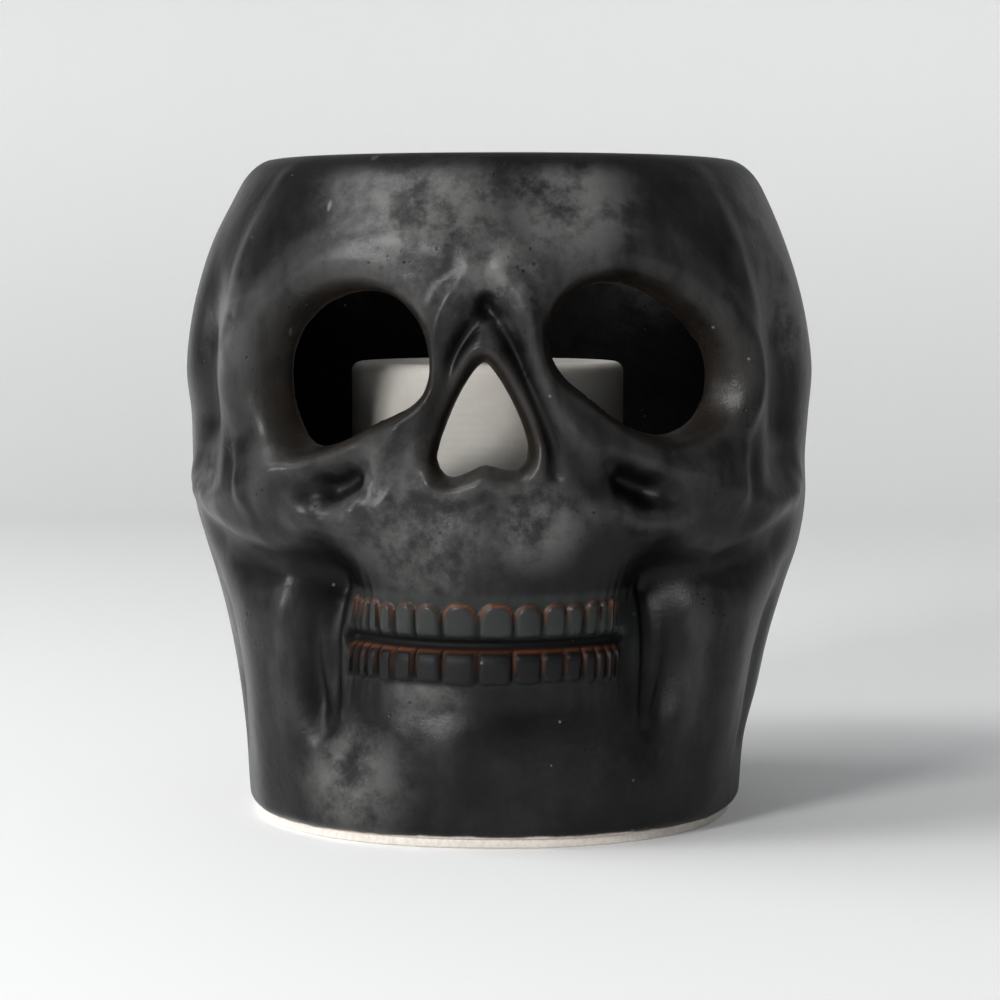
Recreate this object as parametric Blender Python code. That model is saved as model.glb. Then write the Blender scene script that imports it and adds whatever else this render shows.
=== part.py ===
"""Ceramic skull candle holder, with a pillar candle standing in it.

One slip-cast skull whose crown is cut off level, so that it is an open pot. Light leaves through
the two eyes and the nose, which are cut right through the wall. The face looks along -Y, +X is to
the right of someone who looks at the face, and the foot stands on Z = 0.

The skin is drawn on an unrolled sheet: an angle round the pot, in degrees from the middle of the
face, and a height, in hundredths of the pot's height. Ridges and hollows are strokes on that sheet.
"""

import math

import bmesh
import bpy
import numpy as np

MM = 0.001

# The pot, in millimetres
HEIGHT = 178.8
WIDTH = 174.0
FRONT_REACH = 81.0
BACK_REACH = 92.0
FACE_SWELL = 2.16
WALL = 7.0
FLOOR_THICKNESS = 7.0
RIM_ROUND = 7.0
RIM_FLAT = 0.8
RIM_INNER_ROUND = 1.8
FLOOR_ROUND = 9.0

# The unglazed foot ring
FOOT_HEIGHT = 2.4
FOOT_INSET = 2.6
FOOT_WIDTH = 9.0
FOOT_RECESS = 2.0
BODY_CORNER = 3.0

# Openings cut through the wall: their sizes along the skin
EYE_LEFT_WIDTH = 43.5
EYE_LEFT_HEIGHT = 40.0
EYE_RIGHT_WIDTH = 47.5
EYE_RIGHT_HEIGHT = 39.5
NOSE_WIDTH = 25.5
NOSE_HEIGHT = 29.5
EYE_LIP_DROP = 8.0
EYE_LIP_WIDTH = 6.0
EYE_LIP_LEAN = 2.2
NOSE_LIP_DROP = 4.5
NOSE_LIP_WIDTH = 3.8
NOSE_RIM_RISE = 1.8
RIM_BEAD_WIDTH = 2.2
SET_BACK_WIDTH = 11.0
LIP_WALL = 2.4
LIP_FULLNESS = 0.93

# Teeth
TEETH_EACH_SIDE = 8
FRONT_TOOTH_DEGREES = 7.0
TOOTH_SHRINK = 0.82
UPPER_TOOTH_HEIGHT = 10.0
LOWER_TOOTH_HEIGHT = 9.4
BITE_GAP = 2.2
TOOTH_RISE = 1.9
TOOTH_CORNER = 4.0
TOOTH_EDGE = 1.1
BITE_DEPTH = 3.4
DENTAL_ARCH_RADIUS = 46.0

# The candle and its wick
CANDLE_DIAMETER = 76.0
CANDLE_HEIGHT = 114.5
CANDLE_OFFSET = -3.5
CANDLE_EDGE_ROUND = 2.8
WICK_DIAMETER = 2.2
WICK_ABOVE = 9.0
CLEARANCE = 0.3

# Heights on the sheet, in hundredths of HEIGHT, and angles in degrees
BITE_LEVEL = 29.9
FACE_MIDDLE = 1.0
TEETH_MIDDLE = -1.2
EYE_LEFT_CENTRE = (-25.5, 69.0)
EYE_RIGHT_CENTRE = (30.0, 70.5)
NOSE_CENTRE = (0.0, 62.2)

# Plan of the pot: height, then half width, front and back reach as shares of the largest,
# and how far the hand-made body leans to +X there, as a share of the width
SECTIONS = [
    (0.0, 0.784, 0.885, 0.770, -0.0070),
    (4.5, 0.790, 0.895, 0.785, -0.0070),
    (11.0, 0.801, 0.905, 0.805, -0.0065),
    (19.0, 0.830, 0.918, 0.840, -0.0010),
    (27.0, 0.861, 0.930, 0.878, 0.0015),
    (35.0, 0.904, 0.942, 0.915, 0.0040),
    (42.0, 0.948, 0.957, 0.948, 0.0050),
    (48.5, 0.975, 0.972, 0.975, 0.0015),
    (55.0, 0.977, 0.983, 0.993, -0.0005),
    (61.5, 0.983, 0.990, 1.000, 0.0010),
    (68.0, 0.995, 0.995, 0.998, 0.0000),
    (74.5, 0.982, 1.000, 0.985, -0.0005),
    (81.5, 0.950, 1.000, 0.955, -0.0005),
    (88.5, 0.901, 0.975, 0.905, 0.0000),
    (94.0, 0.848, 0.930, 0.850, 0.0025),
    (100.0, 0.784, 0.862, 0.770, 0.0030),
]
SECTION_POWER = 2.25

# Outlines of the openings, as shares of half their width and half their height
EYE_LEFT_OUTLINE = [
    (-1.00, -0.12), (-0.93, 0.30), (-0.62, 0.72), (-0.12, 0.97), (0.42, 0.98), (0.82, 0.64),
    (1.00, 0.06), (0.84, -0.38), (0.28, -0.66), (-0.18, -0.90), (-0.62, -0.98), (-0.90, -0.66),
]
EYE_RIGHT_OUTLINE = [
    (-1.00, 0.24), (-0.86, 0.72), (-0.48, 0.98), (0.02, 0.92), (0.52, 0.60), (0.88, 0.20),
    (1.00, -0.24), (0.86, -0.72), (0.42, -0.98), (-0.10, -0.84), (-0.56, -0.46), (-0.88, -0.14),
]
NOSE_OUTLINE = [
    (0.02, 0.98), (-0.34, 0.64), (-0.70, 0.12), (-0.96, -0.44), (-0.98, -0.76), (-0.72, -1.00),
    (-0.34, -0.92), (0.04, -0.78), (0.36, -0.84), (0.76, -0.86), (0.98, -0.60), (0.92, -0.22),
    (0.64, 0.32), (0.28, 0.80),
]

# Strokes that each side of the face has. Each is a line of (degrees from the middle, height),
# then its half width and its rise in hundredths of the height; a hollow has a negative rise.
PAIRED_STROKES = [
    # crest from the brow, between eye and nose, down to the upper jaw
    ([(2.6, 83.0), (4.6, 81.0), (6.5, 79.0), (8.6, 75.0), (9.8, 69.5), (13.0, 64.0), (17.0, 59.4),
      (21.0, 54.5), (25.0, 50.0)], 1.7, 1.3),
    # groove beside the nose
    ([(0.0, 78.6), (2.6, 75.4), (5.2, 71.8), (7.4, 67.4), (9.6, 63.0), (11.6, 58.5), (12.4, 54.5)], 1.3, -1.5),
    # brow
    ([(8.0, 85.6), (16.0, 88.0), (26.0, 87.6), (35.0, 84.6), (43.0, 80.0)], 3.6, 0.9),
    # outer rim of the eye, and the temple line that runs up from it
    ([(44.5, 79.0), (48.0, 72.0), (49.0, 65.0), (48.0, 58.0)], 2.4, 1.3),
    ([(46.0, 96.0), (48.5, 88.0), (50.0, 80.0), (52.0, 71.5), (53.0, 62.0), (53.0, 55.0)], 2.6, 0.8),
    # hollow of the temple
    ([(61.0, 80.0), (62.5, 71.0), (63.0, 62.5), (63.0, 57.0)], 4.4, -1.7),
    # rim under the eye
    ([(16.0, 60.8), (24.0, 57.8), (31.0, 55.9), (38.0, 54.6), (44.0, 56.0)], 1.8, 1.0),
    # cheekbone and the start of the arch behind it
    ([(38.5, 50.6), (44.0, 52.4), (50.0, 52.0)], 4.6, 2.4),
    ([(49.0, 49.4), (57.0, 49.2), (65.0, 50.2), (71.0, 52.0)], 3.0, 1.3),
    # lower edge of the cheekbone
    ([(34.0, 43.6), (42.0, 43.6), (51.0, 44.6), (60.0, 47.0)], 1.7, 1.0),
    # ledge from the upper jaw to the cheekbone
    ([(21.5, 49.6), (28.0, 47.6), (36.0, 47.0)], 2.0, 1.3),
    # pit under the eye
    ([(22.5, 54.6), (27.5, 52.6), (33.0, 51.4)], 1.9, -3.0),
    # hollow under the cheekbone
    ([(32.0, 35.5), (35.5, 38.4), (42.0, 39.6), (52.0, 40.6), (62.0, 43.2)], 2.7, -3.2),
    # hollow between the teeth and the side of the jaw
    ([(37.0, 36.0), (40.5, 29.5), (40.0, 22.0), (37.0, 16.0)], 2.2, -1.3),
    # side of the lower jaw, with the hollow behind it
    ([(55.0, 38.0), (54.0, 28.0), (54.0, 17.0), (56.0, 7.0)], 5.4, 1.0),
    ([(72.0, 38.0), (71.0, 26.0), (73.0, 13.0)], 4.0, -0.9),
    # folds at the corner of the mouth
    ([(34.6, 38.0), (33.8, 32.0), (34.0, 25.0), (33.0, 19.0)], 0.75, 1.25),
    ([(38.6, 35.0), (39.0, 30.0), (38.4, 24.0), (36.5, 18.0)], 0.8, 1.1),
    # bone behind the ear
    ([(106.0, 47.0), (108.0, 40.0)], 4.5, 1.2),
]

# Strokes that the face has once, given in the same way
SINGLE_STROKES = [
    # root of the nose
    ([(0.6, 76.0), (1.0, 78.6)], 2.0, -1.3),
    # swelling between the brows
    ([(-7.0, 86.2), (9.0, 86.2)], 3.4, 0.8),
    # upper jaw over the teeth
    ([(-10.0, 46.5), (1.0, 48.0), (12.0, 46.5)], 5.0, 0.7),
    # chin, and the dip between it and the teeth
    ([(-14.0, 11.0), (0.0, 12.0), (14.0, 11.0)], 6.0, 0.6),
    ([(-20.0, 20.6), (0.0, 20.8), (22.0, 20.6)], 2.6, -0.5),
]

# Share of its rise that a stroke loses at its ends
STROKE_TAPER = 0.5

# How finely the solids are drawn
SKIN_COLUMNS = 168
SKIN_ROWS = 96
CAVITY_COLUMNS = 48
CAVITY_ROWS = 13
CORNER_STEPS = 4
KEPT_SHARE = 0.26


def smooth_table(table, column, at):
    """A smooth curve through the rows of a table: column against the table's first column."""
    rows = np.array(table, float)
    places, values = rows[:, 0], rows[:, column]
    slopes = np.gradient(values, places)
    at = np.clip(at, places[0], places[-1])
    left = np.clip(np.searchsorted(places, at) - 1, 0, len(places) - 2)
    step = places[left + 1] - places[left]
    t = (at - places[left]) / step
    return (
        (2 * t**3 - 3 * t**2 + 1) * values[left]
        + (t**3 - 2 * t**2 + t) * step * slopes[left]
        + (3 * t**2 - 2 * t**3) * values[left + 1]
        + (t**3 - t**2) * step * slopes[left + 1]
    )


def smooth_line(points, steps, closed):
    """Points along a smooth curve through points, with this many steps between each two."""
    points = np.array(points, float)
    if closed:
        padded = np.vstack([points[-1], points, points[:2]])
    else:
        padded = np.vstack([2 * points[0] - points[1], points, 2 * points[-1] - points[-2]])
    made = []
    for before, start, end, after in zip(padded, padded[1:], padded[2:], padded[3:]):
        for t in np.arange(steps) / steps:
            made.append(
                0.5
                * (
                    2 * start
                    + (end - before) * t
                    + (2 * before - 5 * start + 4 * end - after) * t**2
                    + (3 * start - before - 3 * end + after) * t**3
                )
            )
    if not closed:
        made.append(points[-1])
    return np.array(made)


def distance_to_line(x, y, line, closed=False):
    """Shortest distance from each point (x, y) to a line, and where along it (0 to 1) that is."""
    ends = np.roll(line, -1, axis=0) if closed else line[1:]
    starts = line if closed else line[:-1]
    nearest = np.full(x.shape, np.inf)
    along = np.zeros(x.shape)
    for number, ((x0, y0), (x1, y1)) in enumerate(zip(starts, ends)):
        dx, dy = x1 - x0, y1 - y0
        t = np.clip(((x - x0) * dx + (y - y0) * dy) / (dx * dx + dy * dy), 0, 1)
        distance = np.hypot(x - x0 - t * dx, y - y0 - t * dy)
        along = np.where(distance < nearest, (number + t) / len(starts), along)
        nearest = np.minimum(nearest, distance)
    return nearest, along


def inside_line(x, y, line):
    """Whether each point (x, y) lies inside a closed line."""
    inside = np.zeros(x.shape, bool)
    for (x0, y0), (x1, y1) in zip(line, np.roll(line, -1, axis=0)):
        if y0 != y1:
            crosses = ((y0 > y) != (y1 > y)) & (x < (x1 - x0) * (y - y0) / (y1 - y0) + x0)
            inside ^= crosses
    return inside


def fade(value, start, end):
    """0 at start, 1 at end, smooth between them."""
    t = np.clip((value - start) / (end - start), 0, 1)
    return t * t * (3 - 2 * t)


def face_radius():
    """Radius on which the sheet is laid: the face's own."""
    return FRONT_REACH


def sheet_x(degrees):
    """Millimetres round the face for an angle from its middle."""
    return np.radians(degrees) * face_radius()


def sheet_y(height):
    """Millimetres up the face for a height in hundredths."""
    return height * HEIGHT / 100


def outline(shape, centre, width, height, steps=6):
    """A closed outline on the sheet, in millimetres."""
    line = smooth_line(shape, steps, closed=True)
    centre_x, centre_y = sheet_x(centre[0]), sheet_y(centre[1])
    return np.stack([centre_x + line[:, 0] * width / 2, centre_y + line[:, 1] * height / 2], axis=1)


def openings():
    """Each opening: its outline on the sheet, and its lip's drop, width, lean and rim rise."""
    return {
        "eye_left": (outline(EYE_LEFT_OUTLINE, EYE_LEFT_CENTRE, EYE_LEFT_WIDTH, EYE_LEFT_HEIGHT),
                     EYE_LIP_DROP, EYE_LIP_WIDTH, -EYE_LIP_LEAN, 0.0),
        "eye_right": (outline(EYE_RIGHT_OUTLINE, EYE_RIGHT_CENTRE, EYE_RIGHT_WIDTH, EYE_RIGHT_HEIGHT),
                      EYE_LIP_DROP, EYE_LIP_WIDTH, EYE_LIP_LEAN, 0.0),
        "nose": (outline(NOSE_OUTLINE, NOSE_CENTRE, NOSE_WIDTH, NOSE_HEIGHT),
                 NOSE_LIP_DROP, NOSE_LIP_WIDTH, 0.0, NOSE_RIM_RISE),
    }


def plan_radius(degrees, height):
    """Radius of the plain pot, before the face is worked into it."""
    half_width = smooth_table(SECTIONS, 1, height) * WIDTH / 2
    front = smooth_table(SECTIONS, 2, height) * FRONT_REACH
    back = smooth_table(SECTIONS, 3, height) * BACK_REACH
    angle = np.radians(degrees)
    reach = np.where(np.cos(angle) > 0, front, back)
    across = np.abs(np.sin(angle) / half_width) ** SECTION_POWER
    along = np.abs(np.cos(angle) / reach) ** SECTION_POWER
    return (across + along) ** (-1 / SECTION_POWER)


def dental_arch_radius(degrees, height):
    """Radius of the round arch that carries the teeth; its front is level with the face."""
    front = smooth_table(SECTIONS, 2, height) * FRONT_REACH
    back_from_axis = front - DENTAL_ARCH_RADIUS
    middle = back_from_axis * np.cos(np.radians(degrees))
    return middle + np.sqrt(np.maximum(middle**2 - back_from_axis**2 + DENTAL_ARCH_RADIUS**2, 0))


def tooth_edges():
    """Angles of the gaps between the teeth, from one end of the row to the other."""
    widths = [FRONT_TOOTH_DEGREES * TOOTH_SHRINK**number for number in range(TEETH_EACH_SIDE)]
    from_middle = np.concatenate([[0], np.cumsum(widths)])
    return TEETH_MIDDLE + np.concatenate([-from_middle[:0:-1], from_middle])


def stroke_relief(degrees, height, hollows_only=False):
    """Sum of the strokes at each place, in millimetres."""
    x, y = sheet_x(degrees), sheet_y(height)
    relief = np.zeros(x.shape)
    strokes = [(points, width, rise) for points, width, rise in SINGLE_STROKES]
    for points, width, rise in PAIRED_STROKES:
        strokes += [([(side * a, h) for a, h in points], width, rise) for side in (-1, 1)]
    for points, width, rise in strokes:
        if hollows_only and rise > 0:
            continue
        placed = [(sheet_x(a + FACE_MIDDLE), sheet_y(h)) for a, h in points]
        line = smooth_line(placed, 4, closed=False)
        distance, along = distance_to_line(x, y, line)
        strength = 1 - STROKE_TAPER * (1 - fade(0.5 - np.abs(along - 0.5), 0.0, 0.3))
        spread = np.exp(-((distance / (width * HEIGHT / 100)) ** 2))
        relief += rise * HEIGHT / 100 * strength * spread
    return relief


def body_radius(degrees, height, hollows_only=False):
    """Radius of the skin with its strokes and the dental arch, before teeth and openings."""
    radius = plan_radius(degrees, height)
    off_middle = np.abs(degrees - FACE_MIDDLE)
    arch = (1 - fade(off_middle, 33, 46)) * fade(height, 6, 26) * (1 - fade(height, 35, 50))
    radius += arch * (dental_arch_radius(degrees, height) - radius)
    return radius + stroke_relief(degrees, height, hollows_only)


def tooth_relief(degrees, height):
    """Rise of the teeth and depth of the gaps round them, in millimetres."""
    y = sheet_y(height)
    bite = sheet_y(BITE_LEVEL)
    edges = tooth_edges()
    relief = np.zeros(np.shape(degrees))
    for left, right in zip(edges, edges[1:]):
        half = sheet_x((right - left) / 2)
        across = np.abs(sheet_x(degrees - (left + right) / 2))
        for low, high in ((bite + BITE_GAP / 2, bite + BITE_GAP / 2 + UPPER_TOOTH_HEIGHT),
                          (bite - BITE_GAP / 2 - LOWER_TOOTH_HEIGHT, bite - BITE_GAP / 2)):
            from_side = half - across
            root = high if low > bite else low
            from_root = np.abs(root - y)
            corner = np.minimum(half, TOOTH_CORNER)
            past = np.hypot(np.maximum(across - (half - corner), 0), np.maximum(corner - from_root, 0))
            within = np.minimum(np.minimum(from_side, np.minimum(high - y, y - low)), corner - past)
            relief = np.maximum(relief, TOOTH_RISE * fade(within, 0.0, TOOTH_EDGE))
    in_row = fade(degrees, edges[0] - 2, edges[0]) * (1 - fade(degrees, edges[-1], edges[-1] + 2))
    bite_line = BITE_DEPTH * np.exp(-(((y - bite) / BITE_GAP) ** 2)) * in_row
    return relief * in_row - bite_line


def lip_relief(degrees, height):
    """How the skin rolls in at the openings, and rises round the nose, in millimetres."""
    x, y = sheet_x(degrees), sheet_y(height)
    relief = np.zeros(x.shape)
    for line, drop, width, lean, rise in openings().values():
        middle = line.mean(axis=0)
        away = np.hypot(x - middle[0], y - middle[1]) + 1
        outward = np.sign(lean) * (x - middle[0]) / away
        upward = (y - middle[1]) / away
        wide = width + abs(lean) * 0.7 * (outward + upward)
        distance, _ = distance_to_line(x, y, line, closed=True)
        distance = np.where(inside_line(x, y, line), 0, distance)
        roll = LIP_FULLNESS * np.clip(1 - distance / wide, 0, 1)
        deepest = 1 - math.sqrt(1 - LIP_FULLNESS**2)
        relief -= (drop + rise) * (1 - np.sqrt(1 - roll**2)) / deepest
        relief += rise * np.exp(-((np.maximum(distance - wide, 0) / RIM_BEAD_WIDTH) ** 2))
    return relief


def lip_set_back(degrees, height):
    """How far the inside of the wall steps back behind the lips, in millimetres."""
    x, y = sheet_x(degrees), sheet_y(height)
    set_back = np.zeros(x.shape)
    for line, drop, *_ in openings().values():
        distance, _ = distance_to_line(x, y, line, closed=True)
        distance = np.where(inside_line(x, y, line), 0, distance)
        deeper = max(drop + LIP_WALL - WALL, 0)
        set_back = np.maximum(set_back, deeper * np.exp(-((distance / SET_BACK_WIDTH) ** 2)))
    return set_back


def skin_radius(degrees, height):
    """Radius of the finished outer skin."""
    return body_radius(degrees, height) + tooth_relief(degrees, height) + lip_relief(degrees, height)


def corner_steps(tall, wide, rising):
    """(height from the corner's start, inset) along a quarter round this tall and wide."""
    turns = np.linspace(0, math.pi / 2, CORNER_STEPS + 1)
    if rising:
        return [(tall * math.sin(t), wide * (1 - math.cos(t))) for t in turns]
    return [(tall * (1 - math.cos(t)), wide * (1 - math.sin(t))) for t in turns]


def ring(radii, degrees, z):
    """Points round the leaning axis at one height, in metres."""
    angle = np.radians(degrees)
    lean = float(smooth_table(SECTIONS, 4, np.array(100 * z / HEIGHT))) * WIDTH
    return [
        ((r * math.sin(a) + lean) * MM, -r * math.cos(a) * MM, z * MM)
        for r, a in zip(np.broadcast_to(radii, angle.shape), angle)
    ]


def round_ring(radius, sides, x, z):
    """A round ring of points at one height, in metres."""
    turns = np.linspace(0, 2 * math.pi, sides, endpoint=False)
    return [((radius * math.sin(a) + x) * MM, -radius * math.cos(a) * MM, z * MM) for a in turns]


def loft(name, rings):
    """A closed solid through rings of points, bottom to top, with its two ends filled."""
    mesh = bmesh.new()
    rows = [[mesh.verts.new(point) for point in points] for points in rings]
    for lower, upper in zip(rows, rows[1:]):
        for i in range(len(lower)):
            j = (i + 1) % len(lower)
            mesh.faces.new((lower[i], lower[j], upper[j], upper[i]))
    mesh.faces.new(rows[0][::-1])
    mesh.faces.new(rows[-1])
    bmesh.ops.recalc_face_normals(mesh, faces=mesh.faces)
    data = bpy.data.meshes.new(name)
    mesh.to_mesh(data)
    mesh.free()
    made = bpy.data.objects.new(name, data)
    bpy.context.scene.collection.objects.link(made)
    return made


def cutter(made):
    """Keeps a cutting shape out of the renders."""
    made.hide_render = True
    made.display_type = "WIRE"
    return made


def cut(target, tool):
    """Takes a cutting shape away from an object."""
    step = target.modifiers.new("cut " + tool.name, "BOOLEAN")
    step.operation = "DIFFERENCE"
    step.object = tool
    step.solver = "EXACT"


def material(name, colour, roughness, metallic=0.0):
    made = bpy.data.materials.new(name)
    made.use_nodes = True
    shader = made.node_tree.nodes["Principled BSDF"]
    shader.inputs["Base Color"].default_value = (*colour, 1)
    shader.inputs["Roughness"].default_value = roughness
    shader.inputs["Metallic"].default_value = metallic
    return made


def skin_angles():
    """Angles of the skin's columns: close together over the face, wide apart behind."""
    even = np.linspace(-1, 1, SKIN_COLUMNS, endpoint=False)
    return 180 * (0.42 * even + 0.58 * np.sign(even) * np.abs(even) ** 3)


def skin_body():
    """The solid outside of the skull, from the foot's face to the top of the rim."""
    degrees = skin_angles()
    foot = skin_radius(degrees, np.full(degrees.shape, 100 * FOOT_HEIGHT / HEIGHT)) - FOOT_INSET
    rings = [ring(foot, degrees, 0.0), ring(foot, degrees, FOOT_HEIGHT)]
    low, high = FOOT_HEIGHT + BODY_CORNER, HEIGHT - RIM_ROUND
    places = [(FOOT_HEIGHT + up, inset) for up, inset in corner_steps(BODY_CORNER, BODY_CORNER, rising=False)]
    places += [(z, 0.0) for z in np.linspace(low, high, SKIN_ROWS + 1)[1:-1]]
    rim_depth = WALL - RIM_INNER_ROUND - RIM_FLAT
    places += [(high + up, inset) for up, inset in corner_steps(RIM_ROUND, rim_depth, rising=True)]
    for z, inset in places:
        radii = skin_radius(degrees, np.full(degrees.shape, 100 * z / HEIGHT)) - inset
        rings.append(ring(radii, degrees, z))
    return loft("skull_shell", rings)


def cavity_body():
    """The hollow inside: it follows the skin's hollows, one wall inside them."""
    degrees = np.linspace(-180, 180, CAVITY_COLUMNS, endpoint=False)
    floor = FOOT_RECESS + FLOOR_THICKNESS

    def radii(z):
        height = np.full(degrees.shape, 100 * z / HEIGHT)
        return body_radius(degrees, height, hollows_only=True) - lip_set_back(degrees, height) - WALL

    places = [(floor + up, inset) for up, inset in corner_steps(FLOOR_ROUND, FLOOR_ROUND, rising=False)]
    straight = np.linspace(floor + FLOOR_ROUND, HEIGHT - RIM_INNER_ROUND, CAVITY_ROWS + 1)
    places += [(z, 0.0) for z in straight[1:]]
    rings = [ring(radii(z) - inset, degrees, z) for z, inset in places]
    top = radii(HEIGHT)
    rings.append(ring(top + RIM_INNER_ROUND, degrees, HEIGHT))
    rings.append(ring(top + 2 * RIM_INNER_ROUND, degrees, HEIGHT + RIM_INNER_ROUND))
    return cutter(loft("cavity", rings))


def foot_recess():
    """The shallow hollow inside the foot ring."""
    degrees = np.linspace(-180, 180, CAVITY_COLUMNS, endpoint=False)
    radii = plan_radius(degrees, np.zeros(degrees.shape)) - FOOT_INSET - FOOT_WIDTH
    rings = [ring(radii, degrees, z) for z in (-FOOT_RECESS, FOOT_RECESS)]
    return cutter(loft("foot_recess", rings))


def opening_cutter(name, line):
    """A plug along an opening's outline that runs square through the wall."""
    degrees = np.degrees(line[:, 0] / face_radius())
    inner = FRONT_REACH - 4 * WALL - EYE_LIP_DROP
    outer = max(FRONT_REACH, WIDTH / 2) + 3 * WALL
    rings = []
    for radius in (inner * 0.8, outer):
        angle = np.radians(degrees)
        rings.append([
            (radius * math.sin(a) * MM, -radius * math.cos(a) * MM, y * MM)
            for a, y in zip(angle, line[:, 1])
        ])
    return cutter(loft("cut_" + name, rings))


def build_shell():
    shell = skin_body()
    cut(shell, cavity_body())
    cut(shell, foot_recess())
    for name, (line, *_) in openings().items():
        cut(shell, opening_cutter(name, line))
    thin = shell.modifiers.new("fewer faces", "DECIMATE")
    thin.ratio = KEPT_SHARE
    shell.data.materials.append(material("black glaze", (0.035, 0.034, 0.034), 0.45))
    return shell


def build_candle():
    """A wax pillar with rounded edges and a hole for its wick, and the wick in it."""
    base = FOOT_RECESS + FLOOR_THICKNESS + CLEARANCE
    top = base + CANDLE_HEIGHT
    radius, corner, x = CANDLE_DIAMETER / 2, CANDLE_EDGE_ROUND, CANDLE_OFFSET
    places = [(base + up, inset) for up, inset in corner_steps(corner, corner, rising=False)]
    places += [(top - corner + up, inset) for up, inset in corner_steps(corner, corner, rising=True)]
    candle = loft("pillar_candle", [round_ring(radius - inset, 64, x, z) for z, inset in places])
    bore = WICK_DIAMETER / 2 + CLEARANCE
    ends = (base - CANDLE_EDGE_ROUND, top + CANDLE_EDGE_ROUND)
    cut(candle, cutter(loft("wick_hole", [round_ring(bore, 12, x, z) for z in ends])))
    candle.data.materials.append(material("ivory wax", (0.80, 0.76, 0.68), 0.5))
    wick_ends = (base, top + WICK_ABOVE)
    wick = loft("candle_wick", [round_ring(WICK_DIAMETER / 2, 12, x, z) for z in wick_ends])
    wick.data.materials.append(material("cotton wick", (0.75, 0.70, 0.60), 0.9))
    return candle, wick


def main():
    for old in list(bpy.data.objects):
        bpy.data.objects.remove(old)
    for piece in (build_shell(), *build_candle()):
        piece.data.shade_smooth()
        piece.data.set_sharp_from_angle(angle=math.radians(35))
    # The skull reaches further back than forward, so its axis stands in front of the middle.
    for made in bpy.data.objects:
        made.location.y = (FRONT_REACH + FACE_SWELL - BACK_REACH) / 2 * MM


main()
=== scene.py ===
"""A black glazed ceramic skull with its crown cut off level, and a pillar candle standing in it.

The face looks along -Y, +X is to the right of someone who looks at it, and Z = 0 is the table.
The skin is drawn on an unrolled sheet: degrees round the pot from the middle of the face, and
height in hundredths of the pot's height. Lengths are in millimetres until a mesh is made.
"""

import math

import bmesh
import bpy
import numpy as np
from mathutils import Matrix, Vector


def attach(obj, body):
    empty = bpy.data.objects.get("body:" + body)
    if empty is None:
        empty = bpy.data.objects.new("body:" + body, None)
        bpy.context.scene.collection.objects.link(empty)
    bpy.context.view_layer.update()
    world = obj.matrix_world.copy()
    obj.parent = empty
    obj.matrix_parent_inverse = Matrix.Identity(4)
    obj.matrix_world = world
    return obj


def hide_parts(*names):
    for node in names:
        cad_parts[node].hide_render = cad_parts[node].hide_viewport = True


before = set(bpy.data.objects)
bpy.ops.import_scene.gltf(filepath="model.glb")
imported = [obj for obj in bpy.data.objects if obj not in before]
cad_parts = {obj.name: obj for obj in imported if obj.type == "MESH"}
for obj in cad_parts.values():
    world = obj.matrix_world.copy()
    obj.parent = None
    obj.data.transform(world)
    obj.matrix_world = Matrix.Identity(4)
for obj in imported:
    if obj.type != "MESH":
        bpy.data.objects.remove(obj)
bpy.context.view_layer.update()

MM = 0.001
FAR = 99.0

# The pot
HEIGHT = 178.8
WIDTH = 174.0
FRONT_REACH = 81.0
BACK_REACH = 92.0
AXIS_Y = -4.42
WALL = 7.0
FLOOR_TOP = 9.0
FLOOR_ROUND = 9.0
RIM_ROUND = 7.0
RIM_INNER_ROUND = 1.8
RIM_FLAT = 0.8
FOOT_HEIGHT = 2.4
FOOT_INSET = 2.6
FOOT_WIDTH = 9.0
FOOT_RECESS = 2.0
FOOT_EDGE_ROUND = 0.5
BODY_CORNER = 3.0

# Lips of the openings
EYE_LIP_DROP = 8.0
EYE_LIP_WIDTH = 6.0
EYE_LIP_LEAN = 2.2
NOSE_LIP_DROP = 4.5
NOSE_LIP_WIDTH = 3.8
NOSE_RIM_RISE = 1.8
LIP_WALL = 2.4
LIP_FULLNESS = 0.93
LIP_SET_BACK_WIDTH = 11.0
LEAN_SHARE = 0.7
EYE_RIM_RISE = 0.9
EYE_RIM_BEAD = 3.4
EYE_RIM_FAVOURS = (0.7, 0.5)
NOSE_RIM_BEAD = 2.2
EDGE_SMOOTHING = 0.55
EDGE_REACH = 1.9
SMOOTHING_ROUNDS = 14

# Teeth: of each row the height, the corner at the root and the length of the root's swelling;
# wear is lost by the degree from the middle
UPPER_TEETH = (10.0, 4.2, 7.0)
LOWER_TEETH = (9.4, 2.0, 5.0)
TEETH_EACH_SIDE = 8
FRONT_TOOTH_DEGREES = 7.0
TOOTH_SHRINK = 0.82
TEETH_MIDDLE = -1.2
BITE_LEVEL = 29.9
BITE_HEIGHT = 53.5
BITE_GAP = 2.2
BITE_DEPTH = 3.4
TOOTH_RISE = 1.7
TOOTH_EDGE = 1.3
TOOTH_BULGE = 0.18
TOOTH_SEED = 7
HEIGHT_CHANCE = 0.5
TILT_CHANCE = 0.04
ROOT_RISE = 0.42
ROOT_WIDTH = 0.55
LEAST_WEAR = 0.45
SIDE_WEAR_LOSS = 0.4 / 35
WEAR_INSET = 0.55
WEAR_BAND = 0.32

# The round arch that carries the teeth: where it fades out to the sides, below and above
DENTAL_ARCH_RADIUS = 46.0
ARCH_SIDES = (33, 46)
ARCH_BELOW = (6, 26)
ARCH_ABOVE = (35, 50)

# The candle
CANDLE_RADIUS = 38.0
CANDLE_BASE = 9.3
CANDLE_TOP = 123.8
CANDLE_X = -3.5
WICK_TOP = 132.8
WICK_RADIUS = 1.1
WICK_DEPTH = 12.0
STRAND_RADIUS = 0.56
CANDLE_FOOT_ROUND = 2.4
CANDLE_SHOULDER_ROUND = 2.8
DISH_DEPTH = 0.9
WICK_PIT_DEPTH = 0.5

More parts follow.
